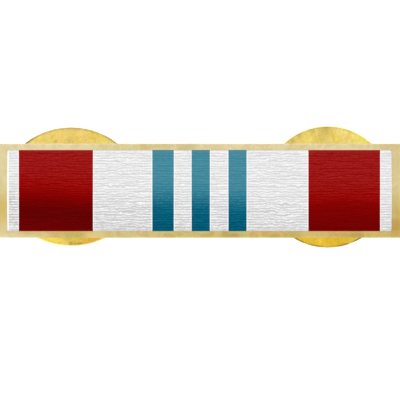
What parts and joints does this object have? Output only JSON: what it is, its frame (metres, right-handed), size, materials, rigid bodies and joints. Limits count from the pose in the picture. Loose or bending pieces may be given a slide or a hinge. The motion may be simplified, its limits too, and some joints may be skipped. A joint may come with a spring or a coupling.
{
  "type": "medal lapel pin",
  "caption": "Ribbon-bar lapel pin: a striped woven ribbon in a raised gilt frame, with soldered posts behind and butterfly clutches that pull off.",
  "frame": {"origin": "on the surface that the pin rests on, midway between its two posts", "axes": "+X along the bar to the right as it is worn, +Y up the bar's face, +Z out of the face"},
  "size_m": [0.0366, 0.0112, 0.01],
  "materials": {
    "gilt": "satin pale gilt",
    "ribbon": "ribbed weave with red and blue stripes on white",
    "clutch_brass": "stamped brass, slightly mottled"
  },
  "bodies": {
    "clutches": {"clutch_disc_left": "clutch_brass", "clutch_wings_left": "clutch_brass", "clutch_disc_right": "clutch_brass", "clutch_wings_right": "clutch_brass"},
    "badge": {"frame": "gilt", "ribbon": "ribbon"}
  },
  "joints": [
    {"name": "badge_lift", "type": "slide", "parent": "clutches", "child": "badge", "axis": [0, 0, 1], "range_m": [0, 0.0075]}
  ]
}
